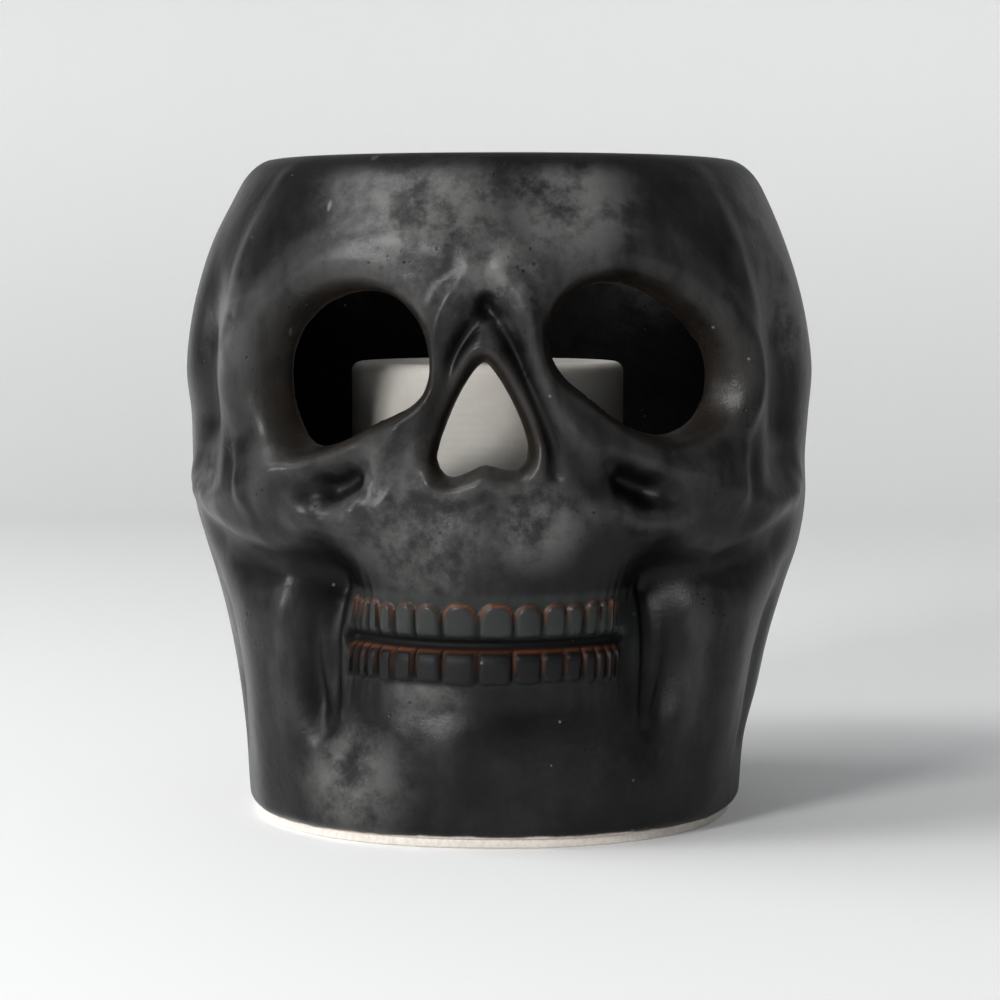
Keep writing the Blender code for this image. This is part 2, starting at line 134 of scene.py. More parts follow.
# The mesh of the skin: degrees between columns over the teeth and what is added on the face
# and behind; millimetres between rows and what is taken off over the teeth and above them
COLUMN_STEP, FACE_COLUMN_MORE, BACK_COLUMN_MORE = 0.52, 0.28, 2.0
ROW_STEP, TEETH_ROW_LESS, UPPER_ROW_LESS = 1.35, 0.8, 0.4
TEETH_ROWS_START, TEETH_ROWS_END = (36, 41), (67, 71)
CAVITY_COLUMNS, CAVITY_ROWS = 200, 66
RECESS_COLUMNS = 120
PLUG_OUTER, PLUG_INNER, PLUG_RINGS = 110, 40, 71

# The camera and the set, in metres and degrees
VIEW_TURN, VIEW_DOWN = 3.5, 4.56
VIEW_DISTANCE, VIEW_HEIGHT = 0.770, 0.1462
LENS, SENSOR = 99.0, 36.0
TABLE_FRONT, TABLE_BACK = -1.2, 0.9
SWEEP_RADIUS, BACKDROP_TOP, SET_HALF_WIDTH = 0.6, 2.4, 2.2
ROOM_LIGHT, ROOM_SEEN, ROOM_MIRRORED = 0.20, 0.74, 0.08
# name, place, the place it shines at, its two sides, watts, and whether reflections show it
LAMPS = [
    ("side", (-1.30, -0.04, 0.85), (0, 0, 0.09), (1.1, 1.0), 15, False),
    ("face", (-0.72, -1.14, 0.56), (0, 0, 0.1), (0.32, 0.32), 11, True),
    ("upper", (-0.80, -0.45, 1.30), (0, 0, 0.1), (0.45, 0.45), 6, True),
]

# Colours, linear
WHITE, BLACK = (1, 1, 1, 1), (0, 0, 0, 1)
LIP_BROWN = (0.017, 0.012, 0.008, 1)
TOOTH_GREEN = (0.030, 0.036, 0.033, 1)
# Near black for the painted shade of the lower teeth and the bite line
BITE_SHADE_BLACK = (0.0025, 0.0028, 0.0025, 1)
RUST_RED = (0.21, 0.074, 0.036, 1)
CLAY_DARK, CLAY_PALE = (0.78, 0.72, 0.65, 1), (0.88, 0.84, 0.78, 1)
BURNT_EDGE = (0.30, 0.20, 0.13, 1)
WAX_DARK, WAX_PALE, WAX_FROST = (0.70, 0.66, 0.60, 1), (0.78, 0.75, 0.69, 1), (0.86, 0.84, 0.80, 1)
WICK_DARK, WICK_PALE = (0.55, 0.50, 0.42, 1), (0.86, 0.83, 0.76, 1)
TABLE_TONE, BACKDROP_TONE = (0.88, 0.88, 0.88, 1), (0.80, 0.80, 0.80, 1)
ROOM_TONE = (0.95, 0.97, 1.0, 1)

# How far the measures of raised and hollow places look round a place, in columns (they drive wear,
# painted highlight and painted shade), and how far brown spreads from an opening
RELIEF_REACHES = (20, 9, 2)
BROWN_REACH = 3.2

FACE_MIDDLE = 1.0
STROKE_TAPER = 0.5
STROKE_GAIN = 1.22

# Plan of the pot: height, then half width, front and back reach as shares of the largest,
# and how far the hand-made body leans to +X there, as a share of the width
SECTIONS = [
    (0.0, 0.784, 0.885, 0.770, -0.0070),
    (4.5, 0.790, 0.895, 0.785, -0.0070),
    (11.0, 0.801, 0.905, 0.805, -0.0065),
    (19.0, 0.830, 0.918, 0.840, -0.0010),
    (27.0, 0.861, 0.930, 0.878, 0.0015),
    (35.0, 0.904, 0.942, 0.915, 0.0040),
    (42.0, 0.948, 0.957, 0.948, 0.0050),
    (48.5, 0.975, 0.972, 0.975, 0.0015),
    (55.0, 0.977, 0.983, 0.993, -0.0005),
    (61.5, 0.983, 0.990, 1.000, 0.0010),
    (68.0, 0.995, 0.995, 0.998, 0.0000),
    (74.5, 0.982, 1.000, 0.985, -0.0005),
    (81.5, 0.950, 1.000, 0.955, -0.0005),
    (88.5, 0.901, 0.975, 0.905, 0.0000),
    (94.0, 0.848, 0.930, 0.850, 0.0025),
    (100.0, 0.784, 0.862, 0.770, 0.0030),
]
SECTION_POWER = 2.25

# Openings: centre on the sheet, width and height, and the outline as shares of their halves
EYE_LEFT = ((-25.5, 69.0), (43.5, 40.0), [
    (-1.00, -0.12), (-0.93, 0.30), (-0.62, 0.72), (-0.12, 0.97), (0.42, 0.98), (0.82, 0.64),
    (1.00, 0.06), (0.84, -0.38), (0.28, -0.66), (-0.18, -0.90), (-0.62, -0.98), (-0.90, -0.66),
])
EYE_RIGHT = ((30.0, 70.5), (47.5, 39.5), [
    (-1.00, 0.24), (-0.86, 0.72), (-0.48, 0.98), (0.02, 0.92), (0.52, 0.60), (0.88, 0.20),
    (1.00, -0.24), (0.86, -0.72), (0.42, -0.98), (-0.10, -0.84), (-0.56, -0.46), (-0.88, -0.14),
])
NOSE = ((0.0, 62.2), (25.5, 29.5), [
    (0.02, 0.98), (-0.34, 0.64), (-0.70, 0.12), (-0.96, -0.44), (-0.98, -0.76), (-0.72, -1.00),
    (-0.34, -0.92), (0.04, -0.78), (0.36, -0.84), (0.76, -0.86), (0.98, -0.60), (0.92, -0.22),
    (0.64, 0.32), (0.28, 0.80),
])

# Strokes on both sides of the face: a line of (degrees, height), half width and rise in
# hundredths of the height
PAIRED_STROKES = [
    # crest from the brow, between eye and nose, down to the upper jaw
    ([(2.6, 83.0), (4.6, 81.0), (6.5, 79.0), (8.6, 75.0), (9.8, 69.5), (13.0, 64.0), (17.0, 59.4),
      (21.0, 54.5), (25.0, 50.0)], 1.7, 1.3),
    # groove beside the nose
    ([(0.0, 78.6), (2.6, 75.4), (5.2, 71.8), (7.4, 67.4), (9.6, 63.0), (11.6, 58.5), (12.4, 54.5)],
     1.3, -1.5),
    # brow
    ([(8.0, 85.6), (16.0, 88.0), (26.0, 87.6), (35.0, 84.6), (43.0, 80.0)], 3.6, 0.9),
    # outer rim of the eye, and the temple line that runs up from it
    ([(44.5, 79.0), (48.0, 72.0), (49.0, 65.0), (48.0, 58.0)], 2.4, 1.3),
    ([(46.0, 96.0), (48.5, 88.0), (50.0, 80.0), (52.0, 71.5), (53.0, 62.0), (53.0, 55.0)],
     2.6, 0.8),
    # hollow of the temple
    ([(61.0, 80.0), (62.5, 71.0), (63.0, 62.5), (63.0, 57.0)], 4.4, -1.7),
    # rim under the eye
    ([(16.0, 60.8), (24.0, 57.8), (31.0, 55.9), (38.0, 54.6), (44.0, 56.0)], 1.8, 1.0),
    # cheekbone and the start of the arch behind it
    ([(38.5, 50.6), (44.0, 52.4), (50.0, 52.0)], 4.6, 2.4),
    ([(49.0, 49.4), (57.0, 49.2), (65.0, 50.2), (71.0, 52.0)], 3.0, 1.3),
    # lower edge of the cheekbone
    ([(34.0, 43.6), (42.0, 43.6), (51.0, 44.6), (60.0, 47.0)], 2.6, 0.9),
    # ledge from the upper jaw to the cheekbone
    ([(21.5, 49.6), (28.0, 47.6), (36.0, 47.0)], 2.0, 1.3),
    # pit under the eye
    ([(22.5, 54.6), (27.5, 52.6), (33.0, 51.4)], 2.4, -2.6),
    # hollow under the cheekbone
    ([(32.0, 35.5), (35.5, 38.4), (42.0, 39.6), (52.0, 40.6), (62.0, 43.2)], 4.2, -2.5),
    # hollow between the teeth and the side of the jaw
    ([(37.0, 36.0), (40.5, 29.5), (40.0, 22.0), (37.0, 16.0)], 2.2, -1.3),
    # side of the lower jaw, with the hollow behind it
    ([(55.0, 38.0), (54.0, 28.0), (54.0, 17.0), (56.0, 7.0)], 5.4, 1.0),
    ([(72.0, 38.0), (71.0, 26.0), (73.0, 13.0)], 4.0, -0.9),
    # folds at the corner of the mouth
    ([(34.6, 38.0), (33.8, 32.0), (34.0, 25.0), (33.0, 19.0)], 1.1, 0.75),
    ([(38.6, 35.0), (39.0, 30.0), (38.4, 24.0), (36.5, 18.0)], 1.1, 0.65),
    # bone behind the ear
    ([(106.0, 47.0), (108.0, 40.0)], 4.5, 1.2),
]

# Strokes that the face has once
SINGLE_STROKES = [
    # root of the nose
    ([(0.6, 76.0), (1.0, 78.6)], 2.0, -1.3),
    # swelling between the brows
    ([(-7.0, 86.2), (9.0, 86.2)], 3.4, 0.8),
    # upper jaw over the teeth
    ([(-12.0, 43.5), (1.0, 45.0), (13.0, 43.5)], 5.6, 1.5),
    # chin, and the dip between it and the teeth
    ([(-14.0, 11.0), (0.0, 12.0), (14.0, 11.0)], 6.0, 0.6),
    ([(-20.0, 20.6), (0.0, 20.8), (22.0, 20.6)], 2.6, -0.5),
]

# Fine work that only the finished skin shows, in absolute degrees
FINE_STROKES = [
    # creases of the folds at the corners of the mouth
    ([(-31.8, 39.0), (-31.6, 33.0), (-32.2, 26.0)], 0.35, -0.25),
    ([(-36.8, 36.0), (-37.4, 30.0), (-36.6, 23.0)], 0.4, -0.25),
    ([(33.6, 39.0), (33.8, 33.0), (33.6, 26.0)], 0.35, -0.25),
    ([(38.4, 36.0), (38.8, 30.0), (38.2, 23.0)], 0.4, -0.25),
    # small folds of the upper jaw beside the nose
    ([(-16.0, 53.0), (-19.0, 49.0), (-22.0, 44.0)], 0.9, 0.35),
    ([(18.0, 53.0), (20.5, 49.0), (23.0, 44.0)], 0.9, 0.35),
    # lip of bone under the nose hole
    ([(-3.0, 51.8), (0.8, 53.2), (4.0, 52.0)], 0.8, 0.5),
]

# Places where the glaze is painted pale, in millimetres, and how far round them it reaches: those
# of the first three rows, on the face and sides, stand for wear and for painted highlights; the
# rest, round the back, for wear
WEAR_AND_HIGHLIGHT_PATCHES = [
    ((-17, -84, 87), 30), ((-15, -86, 90), 20), ((-82, -18, 103), 24), ((-16, -76, 163), 34),
    ((22, -78, 166), 24), ((4, -84, 146), 18), ((-17, -82, 41), 18), ((-69, -28, 52), 22),
    ((74, -38, 136), 26), ((-34, -72, 16), 22), ((-66, -52, 132), 20), ((-71, -46, 92), 15),
    ((70, -40, 160), 18), ((14, -85, 86), 18),
    ((84, 10, 120), 34), ((60, 55, 60), 38), ((0, 88, 110), 40), ((-70, 45, 70), 36),
    ((-50, 66, 150), 26), ((40, 74, 150), 24), ((78, 5, 40), 28), ((-84, 20, 135), 22),
    ((15, 70, 25), 24),
]


# Drawing on the unrolled sheet


def smooth_table(table, column, at):
    """A smooth curve through the rows of a table: column against the table's first column."""
    rows = np.array(table, float)
    places, values = rows[:, 0], rows[:, column]
    slopes = np.gradient(values, places)
    at = np.clip(at, places[0], places[-1])
    left = np.clip(np.searchsorted(places, at) - 1, 0, len(places) - 2)
    step = places[left + 1] - places[left]
    t = (at - places[left]) / step
    return (
        (2 * t**3 - 3 * t**2 + 1) * values[left]
        + (t**3 - 2 * t**2 + t) * step * slopes[left]
        + (3 * t**2 - 2 * t**3) * values[left + 1]
        + (t**3 - t**2) * step * slopes[left + 1]
    )


def smooth_line(points, steps, closed):
    """Points along a smooth curve through points, with this many steps between each two."""
    points = np.array(points, float)
    if closed:
        padded = np.vstack([points[-1], points, points[:2]])
    else:
        padded = np.vstack([2 * points[0] - points[1], points, 2 * points[-1] - points[-2]])
    made = []
    for before, start, end, after in zip(padded, padded[1:], padded[2:], padded[3:]):
        for t in np.arange(steps) / steps:
            first = (end - before) * t
            second = (2 * before - 5 * start + 4 * end - after) * t**2
            third = (3 * start - before - 3 * end + after) * t**3
            made.append(0.5 * (2 * start + first + second + third))
    if not closed:
        made.append(points[-1])
    return np.array(made)


def distance_to_line(x, y, line, closed=False):
    """Shortest distance from each point (x, y) to a line, and where along it (0 to 1) that is."""
    ends = np.roll(line, -1, axis=0) if closed else line[1:]
    starts = line if closed else line[:-1]
    nearest = np.full(x.shape, np.inf)
    along = np.zeros(x.shape)
    for number, ((x0, y0), (x1, y1)) in enumerate(zip(starts, ends)):
        dx, dy = x1 - x0, y1 - y0
        t = np.clip(((x - x0) * dx + (y - y0) * dy) / (dx * dx + dy * dy), 0, 1)
        distance = np.hypot(x - x0 - t * dx, y - y0 - t * dy)
        along = np.where(distance < nearest, (number + t) / len(starts), along)
        nearest = np.minimum(nearest, distance)
    return nearest, along


def inside_line(x, y, line):
    """Whether each point (x, y) lies inside a closed line."""
    inside = np.zeros(x.shape, bool)
    for (x0, y0), (x1, y1) in zip(line, np.roll(line, -1, axis=0)):
        if y0 != y1:
            inside ^= ((y0 > y) != (y1 > y)) & (x < (x1 - x0) * (y - y0) / (y1 - y0) + x0)
    return inside


def fade(value, start, end):
    """0 at start, 1 at end, smooth between them."""
    t = np.clip((value - start) / (end - start), 0, 1)
    return t * t * (3 - 2 * t)


def sheet_x(degrees):
    """Millimetres round the face for an angle from its middle."""
    return np.radians(degrees) * FRONT_REACH


def sheet_y(height):
    """Millimetres up the face for a height in hundredths."""
    return height * HEIGHT / 100


def outline(opening, steps=8):
    """An opening's closed outline on the sheet, in millimetres."""
    centre, size, shape = opening
    line = smooth_line(shape, steps, closed=True) * np.array(size) / 2
    return line + [sheet_x(centre[0]), sheet_y(centre[1])]


def lips():
    """Each opening's outline with its lip's drop, width and lean, and its rim's rise and bead."""
    rim = (EYE_RIM_RISE, EYE_RIM_BEAD)
    return [
        (outline(EYE_LEFT), EYE_LIP_DROP, EYE_LIP_WIDTH, -EYE_LIP_LEAN, *rim),
        (outline(EYE_RIGHT), EYE_LIP_DROP, EYE_LIP_WIDTH, EYE_LIP_LEAN, *rim),
        (outline(NOSE), NOSE_LIP_DROP, NOSE_LIP_WIDTH, 0.0, NOSE_RIM_RISE, NOSE_RIM_BEAD),
    ]


def distance_to_opening(x, y, line):
    """Distance outside an opening's outline, 0 within it."""
    distance, _ = distance_to_line(x, y, line, closed=True)
    return np.where(inside_line(x, y, line), 0, distance)


def distance_to_edges(degrees, z):
    """Distance to the nearest edge of an opening, on either side of it."""
    x = sheet_x(degrees)
    near = np.full(x.shape, FAR)
    for opening in (EYE_LEFT, EYE_RIGHT, NOSE):
        near = np.minimum(near, distance_to_line(x, z, outline(opening, 4), closed=True)[0])
    return near


# The skin


def plan_radius(degrees, height):
    """Radius of the plain pot, before the face is worked into it."""
    half_width = smooth_table(SECTIONS, 1, height) * WIDTH / 2
    front = smooth_table(SECTIONS, 2, height) * FRONT_REACH
    back = smooth_table(SECTIONS, 3, height) * BACK_REACH
    angle = np.radians(degrees)
    reach = np.where(np.cos(angle) > 0, front, back)
    across = np.abs(np.sin(angle) / half_width) ** SECTION_POWER
    along = np.abs(np.cos(angle) / reach) ** SECTION_POWER
    return (across + along) ** (-1 / SECTION_POWER)


def dental_arch_radius(degrees, height):
    """Radius of the round arch that carries the teeth; its front is level with the face."""
    front = smooth_table(SECTIONS, 2, height) * FRONT_REACH
    from_axis = front - DENTAL_ARCH_RADIUS
    middle = from_axis * np.cos(np.radians(degrees))
    return middle + np.sqrt(np.maximum(middle**2 - from_axis**2 + DENTAL_ARCH_RADIUS**2, 0))


def stroke(degrees, height, points, width, rise):
    """One ridge or hollow along a line, in millimetres."""
    line = smooth_line([(sheet_x(a), sheet_y(h)) for a, h in points], 4, closed=False)
    distance, along = distance_to_line(sheet_x(degrees), sheet_y(height), line)
    strength = 1 - STROKE_TAPER * (1 - fade(0.5 - np.abs(along - 0.5), 0.0, 0.3))
    return sheet_y(rise) * strength * np.exp(-((distance / sheet_y(width)) ** 2))


def face_strokes(hollows_only=False):
    """Every main stroke in absolute degrees, those of both sides doubled."""
    placed = []
    for sides, strokes in (((1,), SINGLE_STROKES), ((-1, 1), PAIRED_STROKES)):
        for points, width, rise in strokes:
            for side in sides:
                placed.append(([(side * a + FACE_MIDDLE, h) for a, h in points], width, rise))
    return [(points, width, rise) for points, width, rise in placed if rise < 0 or not hollows_only]


def body_radius(degrees, height, hollows_only=False):
    """Radius of the skin with its strokes and the dental arch, before teeth and openings."""
    radius = plan_radius(degrees, height)
    off_middle = np.abs(degrees - FACE_MIDDLE)
    arch = (1 - fade(off_middle, *ARCH_SIDES)) * fade(height, *ARCH_BELOW)
    arch = arch * (1 - fade(height, *ARCH_ABOVE))
    radius += arch * (dental_arch_radius(degrees, height) - radius)
    for points, width, rise in face_strokes(hollows_only):
        radius += stroke(degrees, height, points, width, rise * STROKE_GAIN)
    return radius


def lip_relief(degrees, height):
    """How the skin rolls in at the openings, and rises in a rim round them."""
    x, y = sheet_x(degrees), sheet_y(height)
    relief = np.zeros(x.shape)
    for line, drop, width, lean, rise, bead in lips():
        middle = line.mean(axis=0)
        away = np.hypot(x - middle[0], y - middle[1]) + 1
        outward = np.sign(lean) * (x - middle[0]) / away
        upward = (y - middle[1]) / away
        wide = width + abs(lean) * LEAN_SHARE * (outward + upward)
        distance = distance_to_opening(x, y, line)
        roll = LIP_FULLNESS * np.clip(1 - distance / wide, 0, 1)
        deepest = 1 - math.sqrt(1 - LIP_FULLNESS**2)
        if lean:
            outer, upper = EYE_RIM_FAVOURS
            rise = rise * fade(outer * outward + upper * upward, -0.5, 0.5)
        relief -= (drop + rise) * (1 - np.sqrt(1 - roll**2)) / deepest
        relief += rise * np.exp(-((np.maximum(distance - wide, 0) / bead) ** 2))
    return relief


def lip_set_back(degrees, height):
    """How far the inside of the wall steps back behind the lips."""
    x, y = sheet_x(degrees), sheet_y(height)
    set_back = np.zeros(x.shape)
    for line, drop, *_ in lips():
        distance = distance_to_opening(x, y, line)
        deeper = max(drop + LIP_WALL - WALL, 0)
        behind = np.exp(-((distance / LIP_SET_BACK_WIDTH) ** 2))
        set_back = np.maximum(set_back, deeper * behind)
    return set_back


def tooth_edges():
    """Angles of the gaps between the teeth, from one end of the row to the other."""
    widths = [FRONT_TOOTH_DEGREES * TOOTH_SHRINK**number for number in range(TEETH_EACH_SIDE)]
    from_middle = np.concatenate([[0], np.cumsum(widths)])
    return TEETH_MIDDLE + np.concatenate([-from_middle[:0:-1], from_middle])


def teeth(degrees, height):
    """Rise of the teeth and their gaps, and where wear has bared their edges to the rusty body."""
    y = sheet_y(height)
    bite = sheet_y(BITE_LEVEL)
    edges = tooth_edges()
    chance = np.random.default_rng(TOOTH_SEED)
    relief, rust, roots = (np.zeros(degrees.shape) for _ in range(3))
    for left, right in zip(edges, edges[1:]):
        middle, half = (left + right) / 2, sheet_x((right - left) / 2)
        aside = sheet_x(degrees - middle)
        for upper, (tall, corner, root_length) in ((True, UPPER_TEETH), (False, LOWER_TEETH)):
            tall += chance.uniform(-HEIGHT_CHANCE, HEIGHT_CHANCE)
            wear = chance.uniform(LEAST_WEAR, 1.0) * (1 - SIDE_WEAR_LOSS * abs(middle))
            tilt = chance.uniform(-TILT_CHANCE, TILT_CHANCE)
            across = np.abs(aside + tilt * (y - bite))
            up = (y - bite - BITE_GAP / 2) if upper else (bite - BITE_GAP / 2 - y)
            from_root = tall - up
            corner = min(half, corner)
            past = np.hypot(
                np.maximum(across - (half - corner), 0), np.maximum(corner - from_root, 0)
            )
            within = np.minimum(half - across, up)
            within = np.minimum(within, np.minimum(from_root, corner - past))
            crown = fade(within, -0.1, TOOTH_EDGE) * (1 - TOOTH_BULGE * (across / half) ** 2)
            relief = np.maximum(relief, TOOTH_RISE * crown)
            band = np.exp(-(((within - WEAR_INSET) / WEAR_BAND) ** 2))
            if upper:
                favoured = fade(up, 3.0, tall - 1.5)
            else:
                favoured = np.maximum(1 - fade(up, 0.6, 2.2), 0.4 * (1 - fade(up, 3.0, 8.0)))
            rust = np.maximum(rust, wear * band * favoured)
            beyond = np.maximum(-from_root, 0)
            span = np.exp(-((across / (ROOT_WIDTH * half)) ** 2)) * fade(-from_root, -1.0, 1.0)
            roots += ROOT_RISE * span * np.exp(-((beyond / root_length) ** 2))
    in_row = fade(degrees, edges[0] - 2, edges[0]) * (1 - fade(degrees, edges[-1], edges[-1] + 2))
    bite_line = BITE_DEPTH * np.exp(-(((y - bite) / BITE_GAP) ** 2)) * in_row
    return (relief + roots) * in_row - bite_line, rust * in_row


def skin_radius(degrees, height):
    """Radius of the finished outer skin."""
    radius = body_radius(degrees, height) + lip_relief(degrees, height) + teeth(degrees, height)[0]
    for points, width, rise in FINE_STROKES:
        radius += stroke(degrees, height, points, width, rise)
    return radius


# Meshes


def corner_steps(tall, wide, rising, steps=7):
    """(height from the corner's start, inset) along a quarter round this tall and wide."""
    turns = np.linspace(0, math.pi / 2, steps + 1)
    if rising:
        return [(tall * math.sin(t), wide * (1 - math.cos(t))) for t in turns]
    return [(tall * (1 - math.cos(t)), wide * (1 - math.sin(t))) for t in turns]


def spaced(start, end, step_at):
    """Values from start to end whose steps follow step_at."""
    values = [start]
    while values[-1] < end:
        values.append(values[-1] + step_at(values[-1]))
    values = np.array(values)
    return start + (values - start) * (end - start) / (values[-1] - start)


def round_points(radii, degrees, z):
    """Points round the leaning axis, in metres; the arrays share one shape."""
    angle = np.radians(degrees)
    lean = smooth_table(SECTIONS, 4, 100 * z / HEIGHT) * WIDTH
    x = radii * np.sin(angle) + lean
    y = -radii * np.cos(angle) + AXIS_Y
    return np.stack([x, y, z + 0 * angle], axis=-1) * MM


def add_object(name, data):
    made = bpy.data.objects.new(name, data)
    bpy.context.scene.collection.objects.link(made)
    return made


def grid_solid(name, points):
    """A closed solid from rows of points, each row a ring, its two ends filled."""
    rows, columns = points.shape[:2]
    index = np.arange(rows * columns).reshape(rows, columns)
    beside = np.roll(index, -1, axis=1)
    quads = np.stack([index[:-1], beside[:-1], beside[1:], index[1:]], axis=-1).reshape(-1, 4)
    faces = quads.tolist() + [index[0, ::-1].tolist(), index[-1].tolist()]
    data = bpy.data.meshes.new(name)
    data.from_pydata(points.reshape(-1, 3).tolist(), [], faces)
    return add_object(name, data)


def settle(made, name):
    """The object's evaluated shape as a plain mesh under a new name; the old object goes."""
    depsgraph = bpy.context.evaluated_depsgraph_get()
    data = bpy.data.meshes.new_from_object(made.evaluated_get(depsgraph))
    data.name = name
    plain = add_object(name, data)
    bpy.data.objects.remove(made)
    return plain


def cut(target, tools):
    """The target with the tools taken away, as a plain mesh."""
    for tool in tools:
        step = target.modifiers.new("cut " + tool.name, "BOOLEAN")
        step.operation = "DIFFERENCE"
        step.solver = "MANIFOLD"
        step.object = tool
    plain = settle(target, target.name)
    for tool in tools:
        bpy.data.objects.remove(tool)
    return plain


def skin_columns():
    """Angles of the skin's columns: closest over the teeth, widest behind."""

    def step(degrees):
        wider = FACE_COLUMN_MORE * fade(degrees, 33, 38)
        return COLUMN_STEP + wider + BACK_COLUMN_MORE * fade(degrees, 66, 120)

    half = spaced(0.0, 180.0, step)
    return np.concatenate([-half[:0:-1], half[:-1]])


def skin_rows():
    """(height, inset) of the skin's rings, from the foot to the top of the rim."""
    low, high = FOOT_HEIGHT + BODY_CORNER, HEIGHT - RIM_ROUND

    def step(z):
        above = fade(z, *TEETH_ROWS_END)
        over_teeth = TEETH_ROW_LESS * fade(z, *TEETH_ROWS_START) * (1 - above)
        return ROW_STEP - over_teeth - UPPER_ROW_LESS * above

    foot = corner_steps(BODY_CORNER, BODY_CORNER, rising=False)
    rows = [(FOOT_HEIGHT + up, inset) for up, inset in foot]
    rows += [(z, 0.0) for z in spaced(low, high, step)[1:-1]]
    rim_depth = WALL - RIM_INNER_ROUND - RIM_FLAT
    rows += [(high + up, inset) for up, inset in corner_steps(RIM_ROUND, rim_depth, rising=True)]
    return rows


def spread(columns, rows):
    """Degrees, height in millimetres and inset at every crossing of the columns and the rows."""
    z, inset = np.array(rows).T[:, :, None]
    return columns + 0 * z, z + 0 * columns, inset


def build_skin():
    """The solid outside of the skull; also the map of its radii that the finish is read from."""
    columns = skin_columns()
    degrees, z, inset = spread(columns, skin_rows())
    radii = skin_radius(degrees, 100 * z / HEIGHT)
    foot = radii[0] - FOOT_INSET
    edge = corner_steps(FOOT_EDGE_ROUND, FOOT_EDGE_ROUND, rising=False, steps=3)
    rings = [round_points(foot - by, columns, np.full(columns.shape, up)) for up, by in edge]
    rings.append(round_points(foot, columns, np.full(columns.shape, FOOT_HEIGHT - 0.1)))
    points = np.concatenate([np.array(rings), round_points(radii - inset, degrees, z)])
    return grid_solid("skull_skin", points), (columns, z[:, 0], radii)


def build_cavity():
    """The hollow inside: it follows the skin's hollows, one wall inside them."""
    columns = np.linspace(-180, 180, CAVITY_COLUMNS, endpoint=False)
    floor = corner_steps(FLOOR_ROUND, FLOOR_ROUND, rising=False)
    rows = [(FLOOR_TOP + up, inset) for up, inset in floor]
    straight = np.linspace(FLOOR_TOP + FLOOR_ROUND, HEIGHT - RIM_INNER_ROUND, CAVITY_ROWS)
    rows += [(z, 0.0) for z in straight[1:]]
    rim = corner_steps(RIM_INNER_ROUND, RIM_INNER_ROUND, rising=True, steps=5)
    rows += [(HEIGHT - RIM_INNER_ROUND + up, -by) for up, by in rim[1:]]
    rows.append((HEIGHT + 2, -RIM_INNER_ROUND - 0.4))
    degrees, z, inset = spread(columns, rows)
    height = 100 * z / HEIGHT
    radii = body_radius(degrees, height, hollows_only=True) - lip_set_back(degrees, height) - WALL
    return grid_solid("cavity", round_points(radii - inset, degrees, z))


def build_foot_recess():
    """The shallow hollow inside the foot ring."""
    columns = np.linspace(-180, 180, RECESS_COLUMNS, endpoint=False)
    radii = plan_radius(columns, 0 * columns) - FOOT_INSET - FOOT_WIDTH
    levels = [(-FOOT_RECESS, -1.0), (0.4, 0.0), (FOOT_RECESS - 0.4, 0.3), (FOOT_RECESS, 0.8)]
    rings = [round_points(radii - by, columns, np.full(columns.shape, z)) for z, by in levels]
    return grid_solid("foot_recess", np.array(rings))


def build_plug(name, opening):
    """A plug along an opening's outline that runs square through the wall."""
    line = outline(opening)
    angle = line[:, 0] / FRONT_REACH
    if np.sum(line[:, 0] * np.roll(line[:, 1], -1) - np.roll(line[:, 0], -1) * line[:, 1]) > 0:
        line, angle = line[::-1], angle[::-1]
    rings = []
    for radius in np.linspace(PLUG_OUTER, PLUG_INNER, PLUG_RINGS):
        x, y = radius * np.sin(angle), -radius * np.cos(angle) + AXIS_Y
        rings.append(np.stack([x, y, line[:, 1]], axis=1) * MM)
    return grid_solid(name, np.array(rings))


def sheet_places(points):
    """Degrees, height in millimetres and radius of points in metres."""
    x, y, z = points.T / MM
    x = x - smooth_table(SECTIONS, 4, 100 * z / HEIGHT) * WIDTH
    y = y - AXIS_Y
    return np.degrees(np.arctan2(x, -y)), z, np.hypot(x, y)


def mesh_points(data):
    """The places of a mesh's corners, one in each row."""
    points = np.empty(len(data.vertices) * 3)
    data.vertices.foreach_get("co", points)
    return points.reshape(-1, 3)


def round_off_openings(data):
    """Rounds the cut edges of the eyes and the nose, as glaze fills them."""
    points = mesh_points(data)
    degrees, z, _ = sheet_places(points)
    near = distance_to_edges(degrees, z)
    weight = EDGE_SMOOTHING * np.exp(-((near / EDGE_REACH) ** 2)) * (np.abs(degrees) < 90)
    edges = np.empty(len(data.edges) * 2, int)
    data.edges.foreach_get("vertices", edges)
    one, other = edges.reshape(-1, 2).T
    count = np.bincount(one, minlength=len(points)) + np.bincount(other, minlength=len(points))
    for _ in range(SMOOTHING_ROUNDS):
        total = np.zeros_like(points)
        np.add.at(total, one, points[other])
        np.add.at(total, other, points[one])
        points += weight[:, None] * (total / count[:, None] - points)
    data.vertices.foreach_set("co", points.ravel())
    data.update()


def blurred(field, reach):
    """A field of rows and columns, each value replaced by a soft mean of its neighbours."""
    offsets = np.arange(-3 * reach, 3 * reach + 1)
    weights = np.exp(-((offsets / reach) ** 2) / 2)
    weights /= weights.sum()
    for axis in (0, 1):
        total = np.zeros_like(field)
        for offset, weight in zip(offsets, weights):
            if axis == 1:
                total += weight * np.roll(field, offset, axis=1)
            else:
                rows = np.clip(np.arange(len(field)) + offset, 0, len(field) - 1)
                total += weight * field[rows]
        field = total
    return field


def add_attribute(data, name, values):
    """Writes one number for each corner into the mesh, for the finishes to read."""
    layer = data.attributes.new(name, "FLOAT", "POINT")
    layer.data.foreach_set("value", np.asarray(values, np.float32))


